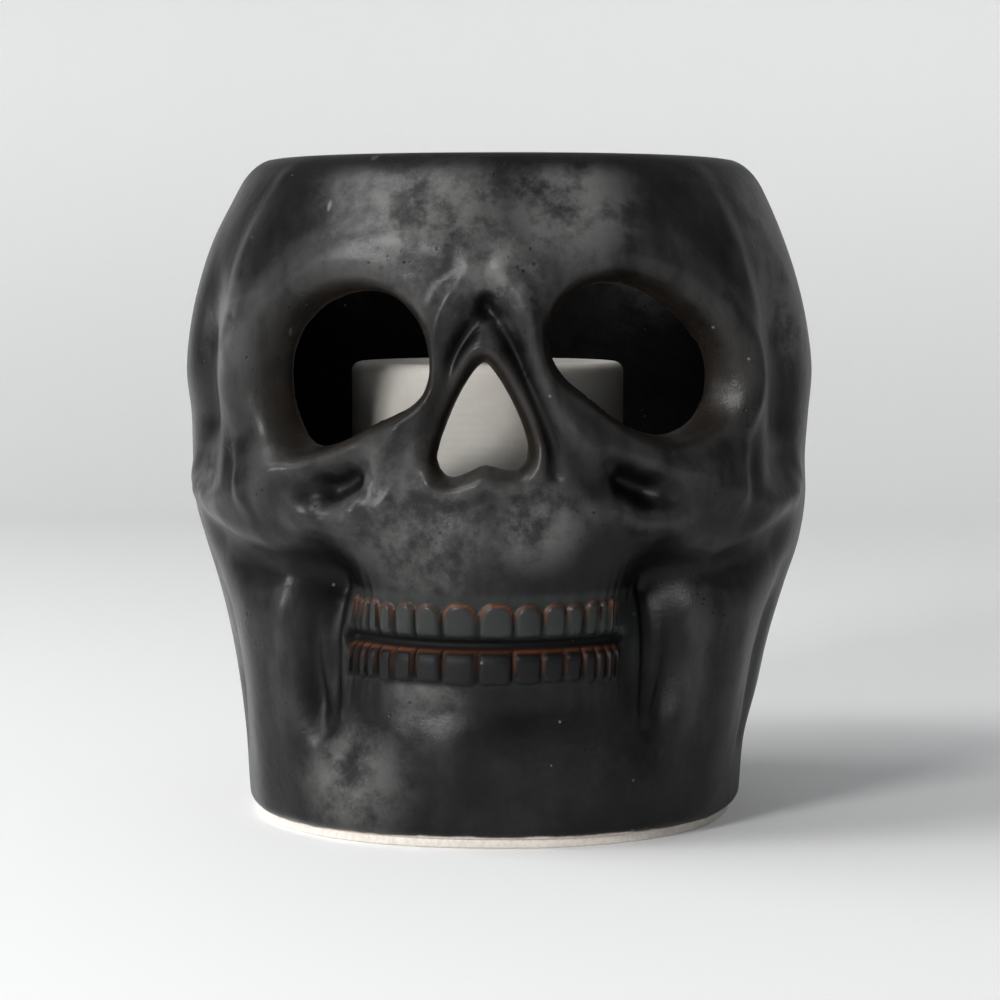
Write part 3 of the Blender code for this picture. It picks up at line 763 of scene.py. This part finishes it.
def mark_wear_and_shade(data, skin_map):
    """Writes raised and hollow places, lips, teeth and their rust into the mesh; raised places get
    pale wear and painted highlight, hollow places and the inside get painted shade.
    """
    columns, heights, radii = skin_map
    degrees, z, radius = sheet_places(mesh_points(data))
    column = np.interp(degrees, columns, np.arange(len(columns)))
    row = np.interp(z, heights, np.arange(len(heights)))

    def read(field):
        """A field of the skin's rows and columns, read where the mesh's corners are."""
        c0, r0 = np.floor(column).astype(int), np.floor(row).astype(int)
        c1, r1 = (c0 + 1) % len(columns), np.minimum(r0 + 1, len(heights) - 1)
        s, t = column - c0, row - r0
        low = field[r0, c0] * (1 - s) + field[r0, c1] * s
        high = field[r1, c0] * (1 - s) + field[r1, c1] * s
        return low * (1 - t) + high * t

    wide, broad, fine = (read(radii - blurred(radii, reach)) for reach in RELIEF_REACHES)
    on_skin = 1 - fade(read(radii) - radius, 1.5, 5.0)
    in_front = 1 - fade(np.abs(degrees), 75, 110)
    # Raised places are painted paler: partly wear, partly painted highlight on the ridges
    raised = fade(broad, 0.25, 1.7) * 0.75 + fade(fine, 0.05, 0.4) * 0.4
    # Hollow places are painted darker as shade, and all the surface inside the skin (the pot's
    # inside and the walls of the openings) is fully painted shade
    sunk_shade = fade(-broad, 0.2, 2.0) * 0.7 + fade(-fine, 0.05, 0.5) * 0.5
    sunk_shade = sunk_shade + fade(-wide, 0.8, 4.0) * 0.6
    add_attribute(data, "raised", raised * on_skin * in_front)
    add_attribute(data, "sunk_shade", np.clip(sunk_shade, 0, 1) * on_skin + (1 - on_skin))
    near = distance_to_edges(degrees, z)
    add_attribute(data, "lip", np.exp(-((near / BROWN_REACH) ** 2)) * in_front)
    add_attribute(data, "rust", teeth(degrees, 100 * z / HEIGHT)[1] * on_skin)
    row_of_teeth = fade(z, 42, 44) * (1 - fade(z, 65.5, 67.5))
    row_of_teeth = row_of_teeth * (1 - fade(np.abs(degrees), 31, 35))
    add_attribute(data, "tooth", row_of_teeth * on_skin)


def build_skull():
    """The whole pot: the skin hollowed out, its openings cut and softened, its wear and its painted
    light and shade marked.
    """
    skin, skin_map = build_skin()
    tools = [build_cavity(), build_foot_recess()]
    openings = (("left_eye", EYE_LEFT), ("right_eye", EYE_RIGHT), ("nose_hole", NOSE))
    tools += [build_plug(name, opening) for name, opening in openings]
    skull = cut(skin, tools)
    skull.name = skull.data.name = "skull_ceramic"
    skull.data.materials.clear()
    round_off_openings(skull.data)
    mark_wear_and_shade(skull.data, skin_map)
    skull.data.shade_smooth()
    skull.data.set_sharp_from_angle(angle=math.radians(50))
    return skull


# Finishes


def add_node(tree, kind, settings=None, inputs=None):
    """Outputs of a new node: its settings first, then the values or links of its sockets."""
    made = tree.nodes.new(kind)
    for name, value in (settings or {}).items():
        setattr(made, name, value)
    for name, value in (inputs or {}).items():
        if isinstance(value, bpy.types.NodeSocket):
            tree.links.new(value, made.inputs[name])
        else:
            made.inputs[name].default_value = value
    return made.outputs


class Value:
    """An output of a shader node that can be added, multiplied and so on."""

    def __init__(self, finish, socket):
        self.finish = finish
        self.socket = socket

    def combine(self, operation, first, second, clamp=False):
        settings = {"operation": operation, "use_clamp": clamp}
        return self.finish.node("Math", settings, {0: first, 1: second})

    def __add__(self, other):
        return self.combine("ADD", self, other)

    def __radd__(self, other):
        return self.combine("ADD", other, self)

    def __sub__(self, other):
        return self.combine("SUBTRACT", self, other)

    def __rsub__(self, other):
        return self.combine("SUBTRACT", other, self)

    def __mul__(self, other):
        return self.combine("MULTIPLY", self, other)

    def __rmul__(self, other):
        return self.combine("MULTIPLY", other, self)

    def clamped(self):
        return self.combine("ADD", self, 0.0, clamp=True)

    def most(self, other):
        return self.combine("MAXIMUM", self, other)

    def between(self, low, high, to_low=0.0, to_high=1.0):
        """This value taken from low..high to to_low..to_high, smoothly and without overshoot."""
        names = ("From Min", "From Max", "To Min", "To Max")
        inputs = {"Value": self, **dict(zip(names, (low, high, to_low, to_high)))}
        return self.finish.node("MapRange", {"interpolation_type": "SMOOTHSTEP"}, inputs)


class Finish:
    """A material in the making, built round its one shader."""

    def __init__(self, name, **constants):
        self.material = bpy.data.materials.new(name)
        self.material.use_nodes = True
        self.tree = self.material.node_tree
        self.shader = self.tree.nodes["Principled BSDF"]
        for socket, value in constants.items():
            self.shader.inputs[socket.replace("_", " ")].default_value = value
        self.place = self.node("TexCoord", output="Object")

    def node(self, kind, settings=None, inputs=None, output=0):
        """One output of a new node; its inputs are numbers, colours or other nodes' outputs."""
        given = {name: getattr(value, "socket", value) for name, value in (inputs or {}).items()}
        return Value(self, add_node(self.tree, "ShaderNode" + kind, settings, given)[output])

    def drive(self, **sockets):
        """Links values to the shader's own sockets."""
        for name, value in sockets.items():
            self.tree.links.new(value.socket, self.shader.inputs[name.replace("_", " ")])
        return self.material

    def attribute(self, name):
        return self.node("Attribute", {"attribute_name": name}, output="Fac")

    def noise(self, size, detail=3.0, roughness=0.5, stretch=None):
        """Noise whose blotches are about size millimetres across."""
        place = self.place
        if stretch:
            place = self.node("VectorMath", {"operation": "MULTIPLY"}, {0: place, 1: stretch})
        inputs = {"Vector": place, "Scale": 1000 / size, "Detail": detail, "Roughness": roughness}
        return self.node("TexNoise", None, inputs, output="Fac")

    def spots(self, size):
        """Distance to the nearest of scattered points about size millimetres apart."""
        inputs = {"Vector": self.place, "Scale": 1000 / size}
        return self.node("TexVoronoi", {"feature": "F1"}, inputs, output="Distance")

    def mix(self, share, under, over):
        """The colour over laid on the colour under in this share."""
        return self.node("Mix", {"data_type": "RGBA"}, {0: share, 6: under, 7: over}, output=2)

    def bump(self, height, depth, under=None):
        """Normal pushed by a height field whose full range is depth millimetres."""
        inputs = {"Height": height, "Distance": depth * MM, "Strength": 1.0}
        if under:
            inputs["Normal"] = under
        return self.node("Bump", None, inputs)

    def along(self, axis):
        """The place along one axis, in metres."""
        return self.node("SeparateXYZ", None, {"Vector": self.place}, output=axis)

    def patch(self, centre, radius):
        """1 at a place given in millimetres, fading to 0 at radius from it."""
        centre = [c * MM for c in centre]
        ends = {0: self.place, 1: centre}
        away = self.node("VectorMath", {"operation": "DISTANCE"}, ends, output="Value")
        return away.between(0.15 * radius * MM, radius * MM, 1.0, 0.0)


def grey(level, warmth=0.0):
    """A linear grey from an sRGB level of 0 to 255, a little warmer or cooler."""
    linear = (level / 255) ** 2.2
    return (linear * (1 + warmth), linear, linear * (1 - warmth), 1)


def rubbed_and_highlit(finish, clouds, blotches):
    """How pale the glaze is at the patches, from wear and painted highlight, broken up by the
    mottling.
    """
    patches = finish.patch(*WEAR_AND_HIGHLIGHT_PATCHES[0])
    for centre, radius in WEAR_AND_HIGHLIGHT_PATCHES[1:]:
        patches = patches.most(finish.patch(centre, radius))
    patches = patches * blotches.between(0.34, 0.62, 0.14, 1.0)
    return patches * clouds.between(0.3, 0.6, 0.6, 1.0)


def stained_and_shaded_teeth(finish, base, level, grain):
    """The base colour with green-grey teeth and rusty edges, with painted shade on the lower teeth
    and the bite line, and where it is dull.
    """
    tooth, rust = finish.attribute("tooth"), finish.attribute("rust")
    # Painted shade: the lower teeth, set back under the upper row, and the bite line between the
    # rows are coloured near black
    lower = tooth * (1 - level.between(BITE_HEIGHT - 1.0, BITE_HEIGHT + 1.0))
    bite = tooth * level.between(BITE_HEIGHT - 1.6, BITE_HEIGHT - 0.6)
    bite = bite * (1 - level.between(BITE_HEIGHT + 0.6, BITE_HEIGHT + 1.6))
    base = finish.mix(tooth * 0.6, base, TOOTH_GREEN)
    base = finish.mix((lower * 0.9).most(bite), base, BITE_SHADE_BLACK)
    worn_edge = (rust * grain.between(0.25, 0.55, 0.55, 1.0)).clamped() * 0.9
    return finish.mix(worn_edge, base, RUST_RED), lower.most(bite)


def nicked(finish, base):
    """The base colour with a few pale nicks at the temple and scattered specks."""
    strokes = finish.noise(7, 1, 0.3, stretch=(0.9, 0.9, 0.10))
    nicks = strokes.between(0.735, 0.76) * finish.patch((-66, -55, 150), 60)
    specks = (1 - finish.spots(9).between(0.035, 0.06)) * finish.noise(30).between(0.5, 0.62)
    return finish.mix((nicks + specks * 0.55).clamped() * 0.8, base, grey(150, 0.03))


def bare_foot(finish, base, level):
    """The base colour with the foot's clay, burnt where the glaze ends, and where it is bare."""
    level = level + (finish.noise(5, 4) - 0.5) * 1.5
    level = level - finish.patch((6, -78, 2), 70) * 0.9
    bare = 1 - level.between(FOOT_HEIGHT - 0.3, FOOT_HEIGHT + 0.4)
    burnt = bare * level.between(FOOT_HEIGHT - 0.4, FOOT_HEIGHT + 0.2)
    clay = finish.mix(finish.noise(1.2, 4).between(0.3, 0.7), CLAY_DARK, CLAY_PALE)
    return finish.mix(bare, base, finish.mix(burnt, clay, BURNT_EDGE)), bare


def black_glaze():
    """Satin black glaze, mottled, painted pale grey for wear and for painted highlights, with
    painted shade in the hollows, on the lower teeth and in the bite, and brown round the openings.
    """
    finish = Finish("black_glaze", Roughness=0.42, IOR=1.5, Specular_IOR_Level=0.24)
    raised, lip = finish.attribute("raised"), finish.attribute("lip")
    sunk_shade = finish.attribute("sunk_shade").clamped()
    clouds = finish.noise(38, 5, 0.6)
    blotches = finish.noise(11, 6, 0.68)
    smears = finish.noise(9, 5, 0.6, stretch=(1.0, 1.0, 0.33))
    grain = finish.noise(0.7, 3, 0.7)

    dark = finish.mix(clouds.between(0.38, 0.66), grey(14, 0.05), grey(25, 0.05))
    # Painted shade: near black in the hollows and inside the pot
    dark = finish.mix(sunk_shade * 0.85, dark, grey(7, 0.10))
    dusty = clouds.between(0.42, 0.72) * 0.55 + smears.between(0.46, 0.7) * 0.6
    dusty = dusty * blotches.between(0.3, 0.62)
    # Painted pale grey: wear, and painted highlights at the patches and along the ridges
    wear_and_highlight = dusty * 0.10 + rubbed_and_highlit(finish, clouds, blotches) * 0.95
    wear_and_highlight = wear_and_highlight + raised * smears.between(0.3, 0.6) * 0.14
    wear_and_highlight = (wear_and_highlight * (1 - sunk_shade * 0.8)).clamped()
    base = finish.mix(wear_and_highlight, dark, grey(102, 0.02))
    # Pale grain flecks, strongest where the wear and the painted highlights are
    fleck = grain.between(0.52, 0.78) * (0.05 + 0.9 * wear_and_highlight)
    base = finish.mix(fleck * 0.45, base, grey(96, 0.01))

    pit = (1 - finish.spots(2.6).between(0.10, 0.24)) * finish.noise(16, 3, 0.6).between(0.54, 0.66)
    base = finish.mix(pit * 0.8, base, grey(12, 0.0))
    base = finish.mix(lip * blotches.between(0.25, 0.6, 0.25, 0.75), base, LIP_BROWN)
    level = finish.along("Z") * 1000
    base, dull = stained_and_shaded_teeth(finish, base, level, grain)
    base, bare = bare_foot(finish, nicked(finish, base), level)

    sheen = 0.25 + wear_and_highlight * 0.05 + grain * 0.08 + clouds * 0.06
    rough = sheen + bare * 0.42 + dull * 0.2 + sunk_shade * 0.12
    swell = finish.bump(finish.noise(15, 3, 0.5), 0.55)
    hammered = finish.bump(blotches, 0.12, swell)
    skin = finish.bump(grain - pit * 1.5, 0.06, hammered)
    return finish.drive(Base_Color=base, Roughness=rough, Normal=skin)


def ivory_wax():
    """Smooth ivory wax, a little cloudy, with its mould's faint marks."""
    finish = Finish("ivory_wax", Subsurface_Weight=0.12, Subsurface_Scale=0.004)
    finish.shader.inputs["Subsurface Radius"].default_value = (1.0, 0.7, 0.45)
    cloud = finish.noise(22, 4, 0.55)
    frost = finish.noise(2.2, 4, 0.6)
    base = finish.mix(cloud.between(0.35, 0.7), WAX_DARK, WAX_PALE)
    base = finish.mix(frost.between(0.55, 0.75) * 0.35, base, WAX_FROST)
    settings = {"wave_type": "BANDS", "bands_direction": "Z"}
    inputs = {"Vector": finish.place, "Scale": 140.0, "Distortion": 1.2}
    rings = finish.node("TexWave", settings, inputs, output="Fac")
    normal = finish.bump(frost, 0.05, finish.bump(rings, 0.02, finish.bump(cloud, 0.4)))
    return finish.drive(Base_Color=base, Roughness=0.42 + frost * 0.18, Normal=normal)


def cotton_wick():
    """Waxed cotton with fine fibres along it."""
    finish = Finish("cotton_wick")
    fibres = finish.noise(0.35, 3, 0.6, stretch=(1.0, 1.0, 0.2))
    base = finish.mix(fibres, WICK_DARK, WICK_PALE)
    normal = finish.bump(fibres, 0.12)
    return finish.drive(Base_Color=base, Roughness=0.75 + fibres * 0.2, Normal=normal)


# The candle


def candle_profile():
    """(radius, height) up the side of the candle and in over its dished top."""
    low, high, radius = CANDLE_BASE, CANDLE_TOP, CANDLE_RADIUS
    foot, shoulder = CANDLE_FOOT_ROUND, CANDLE_SHOULDER_ROUND
    profile = [(0.0, low), (radius - 3.0, low)]
    for turn in np.linspace(0, math.pi / 2, 7)[1:]:
        profile.append((radius - foot + foot * math.sin(turn), low + foot * (1 - math.cos(turn))))
    for z in np.linspace(low + 6, high - 6, 14):
        profile.append((radius - 0.12 * math.sin(z * 0.21) ** 2, z))
    for turn in np.linspace(0, math.pi / 2, 9):
        reach = radius - shoulder + shoulder * math.cos(turn)
        profile.append((reach, high - shoulder + shoulder * math.sin(turn)))
    for share in np.linspace(0.9, 0.06, 14):
        dished = high - DISH_DEPTH * (1 - share**4)
        pit = WICK_PIT_DEPTH * math.exp(-((share / 0.12) ** 2))
        profile.append((radius * share, dished - pit))
    return profile + [(0.0, high - (DISH_DEPTH + WICK_PIT_DEPTH))]


def build_candle(material):
    """A poured pillar: rounded foot and shoulder, and a shallow dish round the wick."""
    mesh = bmesh.new()
    corners = [mesh.verts.new((r * MM, 0, z * MM)) for r, z in candle_profile()]
    edges = [mesh.edges.new(pair) for pair in zip(corners, corners[1:])]
    bmesh.ops.spin(mesh, geom=corners + edges, axis=(0, 0, 1), cent=(0, 0, 0), dvec=(0, 0, 0),
                   angle=2 * math.pi, steps=128, use_merge=True)
    bmesh.ops.remove_doubles(mesh, verts=mesh.verts, dist=1e-6)
    bmesh.ops.recalc_face_normals(mesh, faces=mesh.faces)
    bmesh.ops.translate(mesh, vec=(CANDLE_X * MM, AXIS_Y * MM, 0), verts=mesh.verts)
    data = bpy.data.meshes.new("wax_pillar")
    mesh.to_mesh(data)
    mesh.free()
    data.materials.append(material)
    data.shade_smooth()
    return add_object("wax_pillar", data)


def wick_tree(material):
    """The rule that lays a braid: strands wound round each other along an upright wick."""
    tree = bpy.data.node_groups.new("braided wick", "GeometryNodeTree")
    for name, kind in (("Strands", "Int"), ("Turns", "Float"), ("Length", "Float"),
                       ("Wick radius", "Float"), ("Strand radius", "Float"), ("Base", "Vector")):
        tree.interface.new_socket(name, in_out="INPUT", socket_type="NodeSocket" + kind)
    tree.interface.new_socket("Geometry", in_out="OUTPUT", socket_type="NodeSocketGeometry")
    given = add_node(tree, "NodeGroupInput")

    def node(kind, settings=None, inputs=None):
        return add_node(tree, kind, settings, inputs)

    offset = node("ShaderNodeMath", {"operation": "SUBTRACT"},
                  {0: given["Wick radius"], 1: given["Strand radius"]})[0]
    strand = node("GeometryNodeCurveSpiral", None, {
        "Resolution": 14, "Rotations": given["Turns"], "Start Radius": offset, "End Radius": offset,
        "Height": given["Length"]})[0]
    starts = node("GeometryNodeMeshLine", {"mode": "OFFSET"},
                  {"Count": given["Strands"], "Offset": (0, 0, 0)})[0]
    number = node("GeometryNodeInputIndex")[0]
    share = node("ShaderNodeMath", {"operation": "DIVIDE"}, {0: number, 1: given["Strands"]})[0]
    turn = node("ShaderNodeMath", {"operation": "MULTIPLY"}, {0: share, 1: 2 * math.pi})[0]
    rotation = node("ShaderNodeCombineXYZ", None, {"Z": turn})[0]
    wound = node("GeometryNodeInstanceOnPoints", None,
                 {"Points": starts, "Instance": strand, "Rotation": rotation})[0]
    laid = node("GeometryNodeRealizeInstances", None, {"Geometry": wound})[0]
    section = node("GeometryNodeCurvePrimitiveCircle", None,
                   {"Resolution": 6, "Radius": given["Strand radius"]})[0]
    solid = node("GeometryNodeCurveToMesh", None,
                 {"Curve": laid, "Profile Curve": section, "Fill Caps": True})[0]
    placed = node("GeometryNodeSetPosition", None, {"Geometry": solid, "Offset": given["Base"]})[0]
    plain = node("GeometryNodeRealizeInstances", None, {"Geometry": placed})[0]
    dressed = node("GeometryNodeSetMaterial", None, {"Geometry": plain, "Material": material})[0]
    tree.links.new(dressed, tree.nodes.new("NodeGroupOutput").inputs["Geometry"])
    return tree


def build_wick(material):
    """The braided wick, from under the wax's top to its free end."""
    tree = wick_tree(material)
    maker = add_object("wick_maker", bpy.data.meshes.new("wick_maker"))
    modifier = maker.modifiers.new("braid", "NODES")
    modifier.node_group = tree
    start = CANDLE_TOP - WICK_DEPTH
    sizes = {"Strands": 3, "Turns": 9.0, "Length": (WICK_TOP - start) * MM - 0.0006,
             "Wick radius": WICK_RADIUS * MM, "Strand radius": STRAND_RADIUS * MM,
             "Base": (CANDLE_X * MM, AXIS_Y * MM, start * MM)}
    names = {item.name: item.identifier for item in tree.interface.items_tree}
    for name, value in sizes.items():
        modifier[names[name]] = value
    wick = settle(maker, "braided_wick")
    wick.data.shade_smooth()
    return wick


# The set


def pale_paper():
    """Pale paper, greyer up the backdrop, with painted light: it glows for the camera, more towards
    the top and the right.
    """
    finish = Finish("pale_paper", Roughness=0.85, Emission_Strength=1.0)
    level, across = finish.along("Z"), finish.along("X")
    tone = finish.mix(level.between(0.0, 0.5), TABLE_TONE, BACKDROP_TONE)
    # Painted light: a glow that only camera rays see, stronger towards the top and the right
    lift = level.between(0.0, 0.35, 0.0, 0.14) + across.between(-0.4, 0.5, 0.0, 0.13)
    glow = finish.mix(finish.node("LightPath", output="Is Camera Ray") * lift, BLACK, WHITE)
    return finish.drive(Base_Color=tone, Emission_Color=glow)


def build_sweep():
    """A pale table that sweeps up into the backdrop."""
    profile = [(TABLE_FRONT, 0.0), (TABLE_BACK, 0.0)]
    for t in np.linspace(0, math.pi / 2, 24)[1:]:
        profile.append((TABLE_BACK + SWEEP_RADIUS * math.sin(t), SWEEP_RADIUS * (1 - math.cos(t))))
    profile.append((TABLE_BACK + SWEEP_RADIUS, BACKDROP_TOP))
    points = [(side, y, z) for y, z in profile for side in (-SET_HALF_WIDTH, SET_HALF_WIDTH)]
    faces = [(2 * i, 2 * i + 1, 2 * i + 3, 2 * i + 2) for i in range(len(profile) - 1)]
    data = bpy.data.meshes.new("table_and_backdrop")
    data.from_pydata(points, [], faces)
    data.shade_smooth()
    data.materials.append(pale_paper())
    sweep = add_object("table_and_backdrop", data)


def add_lamp(name, place, target, size, power, mirrored):
    """A rectangular lamp that shines at target; mirrored is whether reflections show it."""
    lamp = bpy.data.lights.new(name, "AREA")
    lamp.shape = "RECTANGLE"
    lamp.size, lamp.size_y = size
    lamp.energy = power
    made = add_object(name, lamp)
    made.location = place
    made.rotation_euler = (Vector(target) - Vector(place)).to_track_quat("-Z", "Y").to_euler()
    made.visible_glossy = mirrored


def light_the_room():
    """Soft light from all round: dim on the pot, pale where the camera looks past the set."""
    world = bpy.data.worlds.new("soft room")
    world.use_nodes = True
    tree = world.node_tree
    sky = tree.nodes["Background"]
    sky.inputs["Color"].default_value = ROOM_TONE
    rays = add_node(tree, "ShaderNodeLightPath")
    inputs = {"Value": rays["Is Camera Ray"], "To Min": ROOM_LIGHT, "To Max": ROOM_SEEN}
    seen = add_node(tree, "ShaderNodeMapRange", None, inputs)[0]
    inputs = {0: rays["Is Glossy Ray"], 1: ROOM_MIRRORED, 2: seen}
    strength = add_node(tree, "ShaderNodeMath", {"operation": "MULTIPLY_ADD"}, inputs)[0]
    tree.links.new(strength, sky.inputs["Strength"])
    bpy.context.scene.world = world


def add_camera():
    """The view: a long lens from a little right of the nose, looking slightly down."""
    turn, down = math.radians(VIEW_TURN), math.radians(VIEW_DOWN)
    camera = bpy.data.cameras.new("camera")
    camera.lens = LENS
    camera.sensor_width = SENSOR
    made = add_object("camera", camera)
    x, y = VIEW_DISTANCE * math.sin(turn), -VIEW_DISTANCE * math.cos(turn) + AXIS_Y * MM
    made.location = (x, y, VIEW_HEIGHT)
    made.rotation_euler = (math.pi / 2 - down, 0, turn)
    bpy.context.scene.camera = made


def main():
    """Builds the pot, the candle and the wick, then the set round them."""
    add_camera()
    skull = build_skull()
    skull.data.materials.append(black_glaze())
    candle = build_candle(ivory_wax())
    wick = build_wick(cotton_wick())
    for piece, node, slot in ((skull, "skull_shell", "black_glaze"),
                              (candle, "pillar_candle", "ivory_wax"),
                              (wick, "candle_wick", "cotton_wick")):
        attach(piece, "root")
        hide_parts(node)
    build_sweep()
    for lamp in LAMPS:
        add_lamp(*lamp)
    light_the_room()
    bpy.context.scene.view_settings.view_transform = "Standard"


main()
